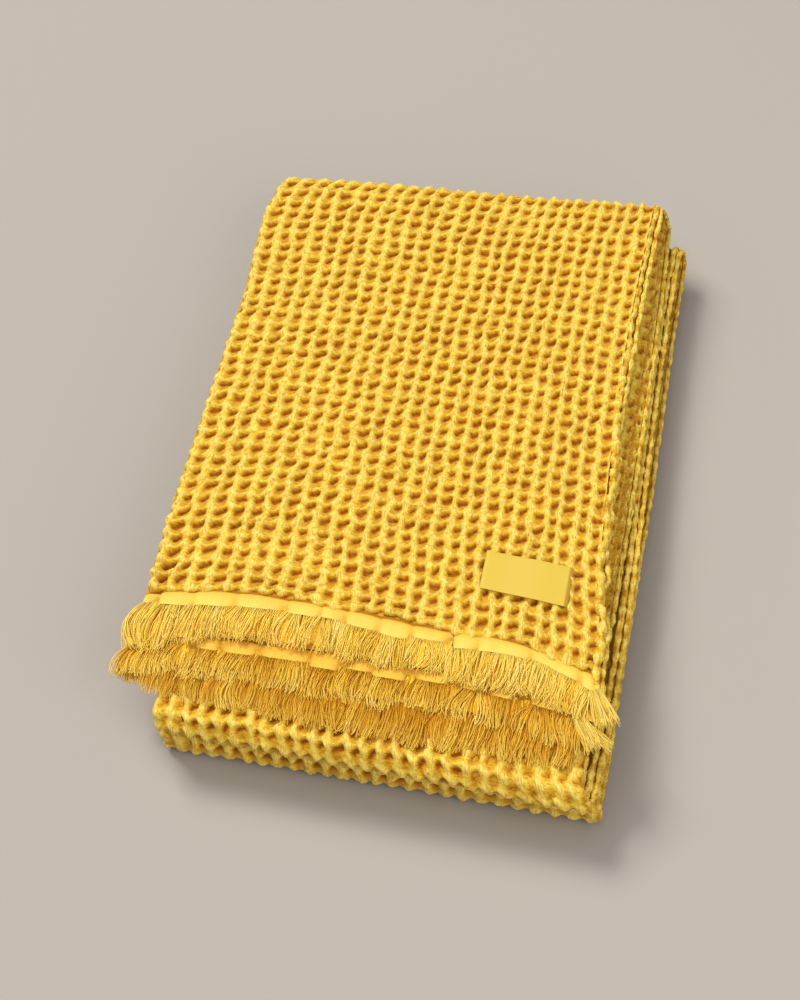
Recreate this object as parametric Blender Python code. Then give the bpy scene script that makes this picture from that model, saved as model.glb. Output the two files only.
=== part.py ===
"""A waffle weave cotton blanket, folded in four across its width and then in five along its length.

The blanket lies flat with its front hem and fringe on top, facing -Y. The Z axis points up, and the
origin is on the floor below the middle of the folded stack. Sizes are in metres.

The cloth is one sheet. Going across it from the top layer's rolled selvedge, it runs to the left,
turns under, runs back to the right, turns up, runs to the left again and back once more, nested in
its first turn. Those four layers together are a run, and five runs lie back and forth on each other.
"""

import bpy
import numpy as np

MM = 0.001

# The cloth and its layers.
CLOTH_THICKNESS = 2.0 * MM
LAYER_PITCH = 2.8 * MM  # from one layer of a run to the next, between their middles
RUN_PITCH = 12.2 * MM  # from one run to the next, between their middles
RUN_COUNT = 5
OUTER_LAYER = 1.5 * LAYER_PITCH  # height of the top layer above its run's middle
INNER_LAYER = 0.5 * LAYER_PITCH
HALF_RUN = OUTER_LAYER + CLOTH_THICKNESS / 2
STACK_HEIGHT = (RUN_COUNT - 1) * RUN_PITCH + 2 * HALF_RUN

# Across the folded cloth, from the middle of the left turns to the selvedges on the right.
PANEL_WIDTH = 284.0 * MM
RIGHT_TURN = PANEL_WIDTH - 3.0 * MM  # middle of the turn from the fourth layer to the third
TOP_SELVEDGE = PANEL_WIDTH + 3.0 * MM
LOWER_SELVEDGE = PANEL_WIDTH + 7.0 * MM
SELVEDGE_ROLL = 1.4 * MM  # half the thickness of the rolled selvedges
ROLL_WIDTH = 3.2 * MM
LAYER_SHARES = [0.0, 0.035, 0.07, 0.12, 0.35, 0.6, 0.82, 1.0]  # where a layer has points, from its left
OUTER_TURN_STEPS = 7
TIGHT_TURN_STEPS = 5

# The hems: a plain band along both ends of the cloth, then a cut fringe on a narrow strip.
HEADER_WIDTH = 14.0 * MM
FAR_HEM_Y = 195.0 * MM  # where the waffle weave ends under the stack, at the back
STRIP_GAP = 0.5 * MM
STRIP_WIDTH = 2.0 * MM
FRONT_FRINGE = {"length": 27.0 * MM, "pitch": 7.2 * MM, "bend": 0.5}
FAR_FRINGE = {"length": 20.0 * MM, "pitch": 17.0 * MM, "bend": 0.5}
LOCK_SHARE = 0.72  # part of the pitch that a lock fills at its root
TIP_SHARE = 0.70  # width of a lock's tip against its root
LOCK_LEAN = 2.0 * MM  # how far a tip may lie to one side

# The woven label near the front hem.
LABEL_WIDTH = 58.0 * MM
LABEL_DEPTH = 30.0 * MM
LABEL_THICKNESS = 1.0 * MM
LABEL_CENTRE = (93.5 * MM, -105.0 * MM)
LABEL_TURN = np.radians(-8.5)
LABEL_GAP = 0.35 * MM
LABEL_STEPS = 6

# Middle of each fold along the length: y at x = 0, slope of y along x, steps in its half turn.
BACK_FOLDS = [(234.0 * MM, -0.045, 7), (219.0 * MM, -0.050, 5)]
FRONT_FOLDS = [(-227.0 * MM, -0.086, 7), (-220.5 * MM, -0.064, 7)]

# Where the straight part of each run has points, as shares of its length from the front hem's side.
# The first run's are counted from FIRST_RUN_Y, which all its layers share, and it also has its hem.
FIRST_RUN_Y = -125.0 * MM
RUN_SHARES = [
    [0.0, 0.1, 0.22, 0.48, 0.74, 1.0],
    [0.0, 0.33, 0.67, 1.0],
    [0.0, 0.33, 0.67, 1.0],
    [0.0, 0.33, 0.67, 1.0],
    [0.0, 0.3, 0.6, 1.0],
]

# Outline of the stack at places along the cloth: place, left x, right x, in millimetres.
# Runs are counted from 0 at the front hem, and a whole number is the middle of a fold between two.
OUTLINE = [
    (0.00, -152, 151),
    (0.30, -156, 136),
    (0.62, -158, 126),
    (0.90, -161, 129),
    (1.00, -147, 131),
    (1.10, -155, 134),
    (1.63, -127, 145),
    (1.90, -124, 150),
    (2.00, -122, 155),
    (2.10, -128, 156),
    (2.90, -140, 142),
    (3.00, -130, 145),
    (3.10, -138, 146),
    (3.90, -128, 157),
    (4.00, -124, 158),
    (4.10, -127, 158),
    (5.00, -133, 147),
]
FOLD_REACH = 0.1  # how much of a place's number lies within a fold, to each side

# y of the front edge of the waffle weave in each layer, at LAYER_SHARES, in millimetres.
FRONT_HEM = {
    1: [-140, -139, -138, -136, -138, -147, -154, -171],
    2: [-166, -163, -160, -156, -156, -163, -166, -179],
    3: [-166, -168, -170, -171, -171, -178, -178, -189],
    4: [-143, -144, -144, -144, -148, -160, -169, -189],
}

# The front left corner hangs free of the runs below, and its layers spread.
CORNER_X = (-126.0 * MM, -155.0 * MM)
CORNER_Y = (-60.0 * MM, -150.0 * MM)
CORNER_DROP = 1.0 * MM
CORNER_SPREAD = 1.4

MIDDLE = np.array([0.5 * MM, 0.3 * MM, 0.0])  # of the stack's whole size, put over the origin

# The stack is a little uneven.
WAVE_HEIGHT = 1.2 * MM
WAVE_X = 250.0 * MM
WAVE_Y = 330.0 * MM
RIGHT_SAG = 1.2 * MM
SAG_X = (60.0 * MM, 160.0 * MM)

CLOTH_COLOUR = (0.84, 0.50, 0.055)
FRINGE_COLOUR = (0.88, 0.57, 0.08)
LABEL_COLOUR = (0.80, 0.55, 0.11)


def smooth_step(value, start, end):
    """0 at start and 1 at end, with no slope at either."""
    share = np.clip((value - start) / (end - start), 0.0, 1.0)
    return share * share * (3.0 - 2.0 * share)


def lock_shares(pitch):
    """Shares of a layer's width where a lock of fringe starts or ends, and which steps are locks."""
    count = int(PANEL_WIDTH / pitch)
    middles = (np.arange(count) + 0.5) / count
    edges = np.stack([middles - 0.5 * LOCK_SHARE / count, middles + 0.5 * LOCK_SHARE / count], axis=1)
    return [0.0, *edges.ravel(), 1.0], [False, True] * count + [False]


def section(shares, locks, rolls):
    """The section of a run, from the top selvedge to the second layer's, and which steps hold a lock.

    Each row is (s, h, normal s, normal h, half thickness, y where the front hem starts). s goes to
    the right from the left turns and h up from the run's middle. With rolls, the selvedges are thick.
    """
    half = CLOTH_THICKNESS / 2
    rows, held = [], []

    def add_roll(end, height, facing, layer, outward):
        """Rows of a rolled selvedge, from its edge inwards, or outwards to its edge."""
        roll = SELVEDGE_ROLL
        places = [(end, 0.6 * roll), (end - 1.0 * MM, roll), (end - ROLL_WIDTH, roll)]
        for s, thick in reversed(places) if outward else places:
            rows.append((s, height, 0.0, facing, thick, FRONT_HEM[layer][-1] * MM))
            held.append(False)

    def add_layer(layer, start, end, height, facing):
        for share in reversed(shares) if start > end else shares:
            s = min(start, end) + abs(end - start) * share
            hem = np.interp(share, LAYER_SHARES, FRONT_HEM[layer]) * MM
            rows.append((s, height, 0.0, facing, half, hem))
        held.extend(locks + [False])

    def add_turn(middle, radius, start, end, facing, steps, hems):
        """Rows inside a half turn: middle is (s, h), and facing is 1 where the normal points out of it."""
        angles = np.radians(np.linspace(start, end, steps + 1))[1:-1]
        between = np.linspace(*hems, steps + 1)[1:-1] * MM
        for angle, hem in zip(angles, between):
            along, up = np.cos(angle), np.sin(angle)
            place = (middle[0] + radius * along, middle[1] + radius * up)
            rows.append((*place, facing * along, facing * up, half, hem))
            held.append(False)

    hem = FRONT_HEM
    if rolls:
        add_roll(TOP_SELVEDGE, OUTER_LAYER, 1.0, 1, outward=False)
    add_layer(1, PANEL_WIDTH - ROLL_WIDTH, 0.0, OUTER_LAYER, 1.0)
    add_turn((0.0, 0.0), OUTER_LAYER, 90, 270, 1.0, OUTER_TURN_STEPS, (hem[1][0], hem[4][0]))
    add_layer(4, 0.0, RIGHT_TURN, -OUTER_LAYER, -1.0)
    turn = (RIGHT_TURN, -LAYER_PITCH)
    add_turn(turn, INNER_LAYER, -90, 90, 1.0, TIGHT_TURN_STEPS, (hem[4][-1], hem[3][-1]))
    add_layer(3, RIGHT_TURN, 0.0, -INNER_LAYER, 1.0)
    add_turn((0.0, 0.0), INNER_LAYER, 270, 90, -1.0, TIGHT_TURN_STEPS, (hem[3][0], hem[2][0]))
    add_layer(2, 0.0, LOWER_SELVEDGE - ROLL_WIDTH - 2.0 * MM, INNER_LAYER, -1.0)
    if rolls:
        add_roll(LOWER_SELVEDGE, INNER_LAYER, -1.0, 2, outward=True)
    return np.array(rows).T, held[:-1]


def outline_x(place):
    """Left and right x of the stack at a place along the cloth."""
    places, left, right = np.array(OUTLINE, float).T
    return np.interp(place, places, left) * MM, np.interp(place, places, right) * MM


def fold_y(fold, x):
    """y of the middle of a fold along the length, the folds being counted from 1 at the first run's end."""
    y, slope, _ = (BACK_FOLDS if fold % 2 else FRONT_FOLDS)[(fold - 1) // 2]
    return y + slope * x


def run_points(rows, side, run, share, at_front_hem=False):
    """Points of a face of a run's straight part, as rows of (x, y, z, hang). side is +1 or -1.

    The hang is how far a point sinks where the front left corner of the first run hangs.
    """
    s, h, normal_s, normal_h, half, front_hem = rows
    h = h + side * half * normal_h
    start = 0.0 if run == 0 else run + FOLD_REACH
    end = run + 1.0 if run == RUN_COUNT - 1 else run + 1.0 - FOLD_REACH
    x = section_x(s + side * half * normal_s, start + share * (end - start))
    start_y = np.full_like(x, FIRST_RUN_Y) if run == 0 else fold_y(run, x)
    end_y = np.full_like(x, FAR_HEM_Y) if run == RUN_COUNT - 1 else fold_y(run + 1, x)
    y = front_hem if at_front_hem else start_y + share * (end_y - start_y)
    up = 1.0 if run % 2 == 0 else -1.0
    z = STACK_HEIGHT - HALF_RUN - run * RUN_PITCH + up * h
    hang = CORNER_DROP + CORNER_SPREAD * (OUTER_LAYER - h) if run == 0 else np.zeros_like(h)
    return np.stack([x, y, z, hang], axis=-1)


def fold_points(rows, side, fold, share):
    """Points of the half turn from one run down to the next, share 0 at its top and 1 at its bottom."""
    s, h, normal_s, normal_h, half, _ = rows
    h = h + side * half * normal_h
    x = section_x(s + side * half * normal_s, fold + (2 * share - 1) * FOLD_REACH)
    way = 1.0 if fold % 2 else -1.0
    radius = RUN_PITCH / 2 + way * h
    y = fold_y(fold, x) + way * radius * np.sin(np.pi * share)
    middle = STACK_HEIGHT - HALF_RUN - (fold - 0.5) * RUN_PITCH
    z = middle + radius * np.cos(np.pi * share)
    return np.stack([x, y, z, np.zeros_like(h)], axis=-1)


def section_x(s, place):
    left, right = outline_x(place)
    return left + (s + HALF_RUN) * (right - left) / (TOP_SELVEDGE + HALF_RUN)


def uneven(points):
    """x, y and z of rows of (x, y, z, hang), with the stack's unevenness, which is nothing on the floor."""
    x, y, z, hang = np.moveaxis(points, -1, 0)
    wave = WAVE_HEIGHT * np.sin(2 * np.pi * x / WAVE_X + 0.8) * np.sin(2 * np.pi * y / WAVE_Y + 0.4)
    level = z / STACK_HEIGHT * (wave - RIGHT_SAG * smooth_step(x, *SAG_X))
    corner = smooth_step(x, *CORNER_X) * smooth_step(y, *CORNER_Y)
    return np.stack([x, y, z + level - corner * hang], axis=-1)


def forward(points, distance):
    """The same rows, further along y."""
    return points + np.array([0.0, distance, 0.0, 0.0])


def header_edge(rows, side, far):
    """Points of the edge of a hem's plain band, where the fringe starts."""
    if far:
        return forward(run_points(rows, side, RUN_COUNT - 1, 1.0), HEADER_WIDTH)
    return forward(run_points(rows, side, 0, 0.0, at_front_hem=True), -HEADER_WIDTH)


def cloth_face(rows, side):
    """Grid of points on one face of the cloth: across the cloth, along it, and x, y, z."""
    columns = [header_edge(rows, side, far=False), run_points(rows, side, 0, 0.0, at_front_hem=True)]
    for run in range(RUN_COUNT):
        columns += [run_points(rows, side, run, share) for share in RUN_SHARES[run]]
        if run == RUN_COUNT - 1:
            continue
        fold = run + 1
        steps = (BACK_FOLDS if fold % 2 else FRONT_FOLDS)[run // 2][2]
        columns += [fold_points(rows, side, fold, n / steps) for n in range(1, steps)]
    columns.append(header_edge(rows, side, far=True))
    return uneven(np.stack(columns, axis=1))


def signed_volume(points, faces):
    total = 0.0
    for face in faces:
        for n in range(1, len(face) - 1):
            total += np.linalg.det(points[[face[0], face[n], face[n + 1]]])
    return total / 6


def make_object(name, points, faces, material):
    """A closed mesh with its faces pointing out."""
    if signed_volume(points, faces) < 0:
        faces = [face[::-1] for face in faces]
    mesh = bpy.data.meshes.new(name)
    mesh.from_pydata((points - MIDDLE).tolist(), [], faces)
    mesh.shade_smooth()
    mesh.set_sharp_from_angle(angle=np.radians(50))
    obj = bpy.data.objects.new(name, mesh)
    obj.data.materials.append(material)
    bpy.context.scene.collection.objects.link(obj)
    return obj


def slab_faces(across, along, points):
    """Faces of a closed slab whose points are its upper grid, then its lower grid.

    Its cells are cut in two along whichever diagonal goes to the right and back, so that layers which
    lie on each other bend along the same lines, whichever way the cloth runs in them.
    """
    upper = np.arange(across * along).reshape(across, along)
    lower = upper + across * along
    faces = []
    for i in range(across - 1):
        for j in range(along - 1):
            ring = upper[i, j], upper[i, j + 1], upper[i + 1, j + 1], upper[i + 1, j]
            for corner, turned in ((np.array(ring), 1), (np.array(ring) + across * along, -1)):
                first, second = points[corner[2]] - points[corner[0]], points[corner[3]] - points[corner[1]]
                if first[0] * first[1] < second[0] * second[1]:
                    corner = np.roll(corner, -1)
                faces.append(corner[[0, 1, 2]][::turned].tolist())
                faces.append(corner[[0, 2, 3]][::turned].tolist())
    edge = [*upper[:, 0], *upper[-1, 1:], *upper[-2::-1, -1], *upper[0, -2:0:-1]]
    under = [*lower[:, 0], *lower[-1, 1:], *lower[-2::-1, -1], *lower[0, -2:0:-1]]
    for n in range(len(edge)):
        m = (n + 1) % len(edge)
        faces.append([int(edge[n]), int(edge[m]), int(under[m]), int(under[n])])
    return faces


def make_cloth(material):
    rows, _ = section(LAYER_SHARES, [False] * (len(LAYER_SHARES) - 1), rolls=True)
    upper, lower = cloth_face(rows, 1), cloth_face(rows, -1)
    across, along = upper.shape[:2]
    points = np.concatenate([upper.reshape(-1, 3), lower.reshape(-1, 3)])
    return make_object("waffle_blanket", points, slab_faces(across, along, points), material)


def make_fringe(name, fringe, far, material):
    """A narrow strip before a hem, with a lock of fringe on each step that holds one.

    Each lock starts as a four-sided tube on the strip's outer face and narrows to a flat tip.
    """
    rows, held = section(*lock_shares(fringe["pitch"]), rolls=False)
    way = 1.0 if far else -1.0
    faces_of_strip = [header_edge(rows, side, far) for side in (1, -1)]
    count = faces_of_strip[0].shape[0]
    corners = []
    for distance in (STRIP_GAP, STRIP_GAP + STRIP_WIDTH):
        corners += [forward(face, way * distance) for face in faces_of_strip]
    # The four corners of each cross-section are inner upper, inner lower, outer upper, outer lower.
    points = [point for section_corners in zip(*corners) for point in section_corners]
    faces = [[0, 1, 3, 2], [4 * count - 4, 4 * count - 2, 4 * count - 1, 4 * count - 3]]
    for n in range(count - 1):
        a, b = 4 * n, 4 * n + 4
        faces += [[a, a + 2, b + 2, b], [a + 1, b + 1, b + 3, a + 3], [a, b, b + 1, a + 1]]
        if held[n]:
            add_lock(points, faces, [a + 2, b + 2, b + 3, a + 3], fringe, way)
        else:
            faces.append([a + 2, a + 3, b + 3, b + 2])
    return make_object(name, uneven(np.array(points)), faces, material)


def add_lock(points, faces, root, fringe, way):
    """Grows a lock from the four points of its root: two upper ones, then two lower ones."""
    ring = np.array([points[n] for n in root])
    middle = ring.mean(axis=0)
    number = len(faces)
    lean = LOCK_LEAN * np.sin(2.4 * number)
    reach = fringe["length"] * (1.0 - 0.08 * (1 + np.sin(1.7 * number)) / 2)
    bend = middle + np.array([0.3 * lean, way * fringe["bend"] * reach, 0.0, 0.0])
    tip = middle + np.array([lean, way * reach, 0.0, 0.0])
    first = len(points)
    points.extend(bend + (ring - middle) * 0.95)
    across = 0.5 * TIP_SHARE * ((ring[1] - ring[0]) + (ring[2] - ring[3])) / 2
    points.extend([tip - across, tip + across])
    for n in range(4):
        m = (n + 1) % 4
        faces.append([root[n], first + n, first + m, root[m]])
    left, right = first + 4, first + 5
    faces.append([first, left, right, first + 1])
    faces.append([first + 2, right, left, first + 3])
    faces.append([first + 1, right, first + 2])
    faces.append([first + 3, left, first])


def make_label(material):
    """A thin woven label that follows the top of the cloth."""
    across = np.linspace(-0.5, 0.5, LABEL_STEPS + 1)[:, None] * LABEL_WIDTH
    along = np.linspace(-0.5, 0.5, LABEL_STEPS // 2 + 1)[None, :] * LABEL_DEPTH
    x = LABEL_CENTRE[0] + across * np.cos(LABEL_TURN) - along * np.sin(LABEL_TURN)
    y = LABEL_CENTRE[1] + across * np.sin(LABEL_TURN) + along * np.cos(LABEL_TURN)
    top = uneven(np.stack([x, y, np.full_like(x, STACK_HEIGHT), np.zeros_like(x)], axis=-1))
    lower = top + np.array([0.0, 0.0, LABEL_GAP])
    upper = lower + np.array([0.0, 0.0, LABEL_THICKNESS])
    points = np.concatenate([upper.reshape(-1, 3), lower.reshape(-1, 3)])
    return make_object("woven_label", points, slab_faces(*x.shape, points), material)


def make_material(name, colour, roughness):
    material = bpy.data.materials.new(name)
    material.use_nodes = True
    shader = material.node_tree.nodes["Principled BSDF"]
    shader.inputs["Base Color"].default_value = (*colour, 1.0)
    shader.inputs["Roughness"].default_value = roughness
    shader.inputs["Metallic"].default_value = 0.0
    material.diffuse_color = (*colour, 1.0)
    return material


def main():
    for obj in list(bpy.data.objects):
        bpy.data.objects.remove(obj)
    make_cloth(make_material("waffle cotton", CLOTH_COLOUR, 0.9))
    fringe_material = make_material("cotton fringe", FRINGE_COLOUR, 0.85)
    make_fringe("front_fringe", FRONT_FRINGE, far=False, material=fringe_material)
    make_fringe("far_fringe", FAR_FRINGE, far=True, material=fringe_material)
    make_label(make_material("satin label", LABEL_COLOUR, 0.45))


main()
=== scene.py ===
import math

import bpy
import numpy as np
from mathutils import Matrix


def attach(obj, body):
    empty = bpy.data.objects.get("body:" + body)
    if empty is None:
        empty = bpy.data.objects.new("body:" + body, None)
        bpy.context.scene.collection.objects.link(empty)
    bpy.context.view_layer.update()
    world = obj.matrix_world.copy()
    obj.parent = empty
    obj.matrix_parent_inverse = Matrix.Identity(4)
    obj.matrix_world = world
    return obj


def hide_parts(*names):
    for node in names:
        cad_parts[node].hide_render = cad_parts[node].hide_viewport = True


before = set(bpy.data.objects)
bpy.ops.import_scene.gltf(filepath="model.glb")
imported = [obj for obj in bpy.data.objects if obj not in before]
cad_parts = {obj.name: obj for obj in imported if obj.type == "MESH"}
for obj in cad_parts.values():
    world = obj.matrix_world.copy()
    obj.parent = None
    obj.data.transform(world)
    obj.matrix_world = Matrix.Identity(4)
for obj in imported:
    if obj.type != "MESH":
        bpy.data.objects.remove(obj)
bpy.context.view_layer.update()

mm = 0.001
scene = bpy.context.scene
print("frame loaded")

# The folded stack: four layers across, folded in five runs along, with the solids' folds and spacing.

stack = {
    "layerPitch": 2.8 * mm,  # middle of one layer to the next, in a run
    "runPitch": 12.2 * mm,  # middle of one run to the next
    "clothHalf": 1.0 * mm,
    "rightTurn": 281.0 * mm,  # from the middle of the left turns, as are the next three
    "topEdge": 286.0 * mm,
    "lowerEdge": 290.0 * mm,
    "solidEdge": 287.0 * mm,  # the solids' top selvedge
    "cell": 10.8 * mm,  # a column or a row of the cloth's grid in the yarns' UV map
    "headerWidth": 14.0 * mm,
    "farHemY": 195.0 * mm,
    "middle": (0.5 * mm, 0.3 * mm),  # of the stack's whole size, put over the origin
    "waveHeight": 1.2 * mm,  # of the top's soft waves
    "wave": (250.0 * mm, 330.0 * mm),  # their lengths along x and y
    "rightSag": 1.2 * mm,
    "sagX": (60.0 * mm, 160.0 * mm),  # x from which the right side sags, and where it ends
    "cornerX": (-126.0 * mm, -155.0 * mm),
    "cornerY": (-60.0 * mm, -150.0 * mm),
    "cornerDrop": 1.0 * mm,
    "cornerSpread": 1.4,
}
stack["outer"] = 1.5 * stack["layerPitch"]
stack["inner"] = 0.5 * stack["layerPitch"]
stack["halfRun"] = stack["outer"] + stack["clothHalf"]
stack["height"] = 4 * stack["runPitch"] + 2 * stack["halfRun"]
stack["edgeToEdge"] = stack["solidEdge"] + stack["halfRun"]

# fold middles: y at x = 0, slope along x; folds 1 and 3 are at the back, 2 and 4 at the front
foldLines = [(234.0, -0.045), (-227.0, -0.086), (219.0, -0.050), (-220.5, -0.064)]

# place along the cloth, left x, right x in mm; a whole number is the middle of a fold
outline = np.array([
    (0.00, -152, 151), (0.08, -153, 147), (0.15, -154, 141), (0.24, -155, 137),
    (0.34, -156, 133), (0.62, -158, 126), (0.90, -161, 129), (1.00, -147, 131),
    (1.10, -155, 134), (1.63, -127, 145), (1.90, -124, 150), (2.00, -122, 155),
    (2.10, -128, 156), (2.90, -140, 142), (3.00, -130, 145), (3.10, -138, 144.5),
    (3.22, -136.5, 144.5), (3.50, -133, 149.5), (3.76, -130, 152.5), (3.90, -128, 155.5),
    (4.00, -124, 157), (4.10, -127, 156.5), (4.30, -128.5, 151), (4.50, -130, 147.5),
    (5.00, -133, 138),
], float)

# how far each side edge stands out past the rest at a place along the cloth, in mm: the turn of the
# inner layers is the outermost at the front folds, and the selvedges draw back at all folds
edgePlaces = [0.0, 0.7, 1.0, 1.3, 1.7, 2.0, 2.3, 2.7, 3.0, 3.3, 3.7, 4.0, 4.3, 5.0]
turnShift = [0, 0, 0, 0, 0.5, 6, 1, 0, 0, 0, 0.5, 6.5, 1, 0]
selvedgeShift = [0, -1, -5, -2, -1, -4, 0, 0, -4, -1, -1, -4, 0, 0]

# y of the waffle's front edge, the fringe's roots and its tips in each layer, at shares of the
# layer's width from the left, in mm
hemShares = np.array([0.0, 0.035, 0.07, 0.12, 0.35, 0.6, 0.82, 1.0])
frontLines = {
    "hem": {
        1: [-140, -139, -138, -136, -138, -147, -154, -171],
        2: [-167, -166, -165, -167, -170, -175, -181, -190],
        3: [-175, -177, -179, -180, -183, -190, -194, -197],
        4: [-143, -144, -144, -144, -148, -160, -169, -186],
    },
    "root": {
        1: [-149, -148.5, -148, -147, -148, -160, -163, -183],
        2: [-178, -177, -176, -178, -181, -186, -192, -201],
        3: [-186, -188, -190, -191, -194, -201, -205, -208],
        4: [-154, -155, -155, -156, -160, -172, -180, -197],
    },
    "tip": {
        1: [-181, -181, -177, -172, -172, -181, -187, -203],
        2: [-199, -200, -200, -199, -201, -206, -212, -224],
        3: [-199, -204, -209, -212, -217, -225, -229, -231],
        4: [-178, -179, -179, -180, -184, -195, -203, -220],
    },
}

# columns of the cloth's grid in each stretch across it, and rows in each stretch along it
columnCounts = [28.0, 1.4, 27.0, 0.5, 27.0, 0.5, 27.5]
columnStarts = np.concatenate([[0.0], np.cumsum(columnCounts)])
rowCounts = [36.0, 3.0, 42.0, 3.0, 41.0, 3.0, 40.0, 3.0, 38.0]
rowStarts = np.concatenate([[0.0], np.cumsum(rowCounts)])
turnEnds = {1: (1, 4, 0), 3: (4, 3, -1), 5: (3, 2, 0)}  # layers that a turn joins, and at which end


def smoothStep(value, start, end):
    # 0 at the start, 1 at the end, and three times the share's square less twice its cube between them
    share = np.clip((value - start) / (end - start), 0.0, 1.0)
    return share * share * (3.0 - 2.0 * share)


def smoothLine(x, xs, ys):
    # curve through the table's points: cubic pieces whose slopes come from the neighbouring points
    xs, ys = np.asarray(xs, float), np.asarray(ys, float)
    slopes = np.gradient(ys, xs)
    x = np.clip(x, xs[0], xs[-1])
    n = np.clip(np.searchsorted(xs, x) - 1, 0, len(xs) - 2)
    gap = xs[n + 1] - xs[n]
    t = (x - xs[n]) / gap
    bend = (2 * t**3 - 3 * t**2 + 1) * ys[n] + (t**3 - 2 * t**2 + t) * gap * slopes[n]
    return bend + (3 * t**2 - 2 * t**3) * ys[n + 1] + (t**3 - t**2) * gap * slopes[n + 1]


def sectionAt(column):
    # across the cloth: layers are straight lines in (s, h), turns are half circles of the layer's radius
    # gives s, h and the face's normal in them
    column = np.asarray(column, float)
    stretch = np.clip(np.searchsorted(columnStarts, column, side="right") - 1, 0, 6)
    t = (column - columnStarts[stretch]) / np.asarray(columnCounts)[stretch]
    squeezed = t - 0.035 * np.sin(np.pi * np.clip(t, 0.0, 1.0))  # narrower cells near the selvedge
    half, outer, inner = np.pi / 2, stack["outer"], stack["inner"]
    straight = {
        0: (stack["topEdge"] * (1 - squeezed), outer, 1.0),
        2: (stack["rightTurn"] * t, -outer, -1.0),
        4: (stack["rightTurn"] * (1 - t), -inner, 1.0),
        6: (stack["lowerEdge"] * t, inner, -1.0),
    }
    turns = {
        1: (half + np.pi * t, 0.0, 0.0, outer, 1.0),
        3: (-half + np.pi * t, stack["rightTurn"], -2 * inner, inner, 1.0),
        5: (3 * half - np.pi * t, 0.0, 0.0, inner, -1.0),
    }
    s, h, ns, nh = (np.zeros_like(t) for _ in range(4))
    for n, (sHere, hHere, facing) in straight.items():
        here = stretch == n
        s[here], h[here], nh[here] = sHere[here], hHere, facing
    for n, (angle, sMid, hMid, radius, facing) in turns.items():
        here = stretch == n
        a = angle[here]
        s[here], h[here] = sMid + radius * np.cos(a), hMid + radius * np.sin(a)
        ns[here], nh[here] = facing * np.cos(a), facing * np.sin(a)
    return s, h, ns, nh


def frontLine(line, column):
    # y of one of the front lines at a column; a turn's is in proportion between its two layers' ends
    column = np.asarray(column, float)
    stretch = np.clip(np.searchsorted(columnStarts, column, side="right") - 1, 0, 6)
    t = np.clip((column - columnStarts[stretch]) / np.asarray(columnCounts)[stretch], 0.0, 1.0)
    y = np.zeros_like(t)
    for n, layer, share in ((0, 1, 1 - t), (2, 4, t), (4, 3, 1 - t), (6, 2, t)):
        here = stretch == n
        y[here] = smoothLine(share[here], hemShares, frontLines[line][layer])
    for n, (first, last, end) in turnEnds.items():
        here = stretch == n
        ends = frontLines[line][first][end], frontLines[line][last][end]
        y[here] = ends[0] + t[here] * (ends[1] - ends[0])
    return y * mm


def layerOf(column):
    # layers are numbered from the top of the top run, and a turn counts to the layer before it
    stretch = np.clip(np.searchsorted(columnStarts, column, side="right") - 1, 0, 6)
    return np.choose(stretch, [1, 1, 4, 4, 3, 3, 2])


def foldY(fold, x):
    # a fold's middle is a straight line, its y at x = 0 plus its slope times x
    y, slope = foldLines[fold - 1]
    return y * mm + slope * x


def foldedPoints(column, row, lift):
    # a point of the cloth at a column and row of its grid, lifted along its face's normal:
    # straight runs go from fold to fold, and a fold is a half circle about its middle line.
    # Rows under 0 lie on the front band, whose edge is row -1, and rows past the last on the far one.
    column, row, lift = np.broadcast_arrays(column, row, lift)
    s, h, ns, nh = sectionAt(column)
    s, h = s + ns * lift, h + nh * lift
    stretch = np.clip(np.searchsorted(rowStarts, row, side="right") - 1, 0, 8)
    t = (row - rowStarts[stretch]) / np.asarray(rowCounts)[stretch]
    inRow = np.clip(t, 0.0, 1.0)
    run = stretch // 2
    straight = stretch % 2 == 0
    start = np.where(run == 0, 0.0, run + 0.1)
    end = np.where(run == 4, 5.0, run + 0.9)
    place = np.where(straight, start + inRow * (end - start), run + 0.9 + 0.2 * inRow)
    left = smoothLine(place, outline[:, 0], outline[:, 1]) * mm
    right = smoothLine(place, outline[:, 0], outline[:, 2]) * mm
    atRight = smoothStep(s, 150 * mm, stack["rightTurn"])
    inner = (column > columnStarts[2]) & (column < columnStarts[5])
    atTurn = smoothLine(place, edgePlaces, turnShift)
    shift = np.where(inner, atTurn, smoothLine(place, edgePlaces, selvedgeShift))
    x = left + (s + stack["halfRun"]) * (right - left) / stack["edgeToEdge"] + shift * mm * atRight
    hem = frontLine("hem", column)
    lines = [hem] + [foldY(n, x) for n in (1, 2, 3, 4)] + [np.full_like(x, stack["farHemY"])]
    y0 = np.choose(run, lines[:5])
    y1 = np.choose(run, lines[1:])
    flatY = y0 + inRow * (y1 - y0)
    flatY = flatY + np.clip(-row, 0.0, None) * (frontLine("root", column) - hem)
    flatY = flatY + np.clip(row - rowStarts[-1], 0.0, None) * stack["headerWidth"]
    up = np.where(run % 2 == 0, 1.0, -1.0)
    middle = stack["height"] - stack["halfRun"] - run * stack["runPitch"]
    radius = stack["runPitch"] / 2 + up * h
    y = np.where(straight, flatY, y1 + up * radius * np.sin(np.pi * inRow))
    z = np.where(straight, middle + up * h, middle - stack["runPitch"] / 2 + radius * np.cos(np.pi * inRow))
    hang = np.where(run == 0, stack["cornerDrop"] + stack["cornerSpread"] * (stack["outer"] - h), 0.0)
    hang = np.where(straight, hang, 0.0)
    return unevenStack(x, y, z, hang)


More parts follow.
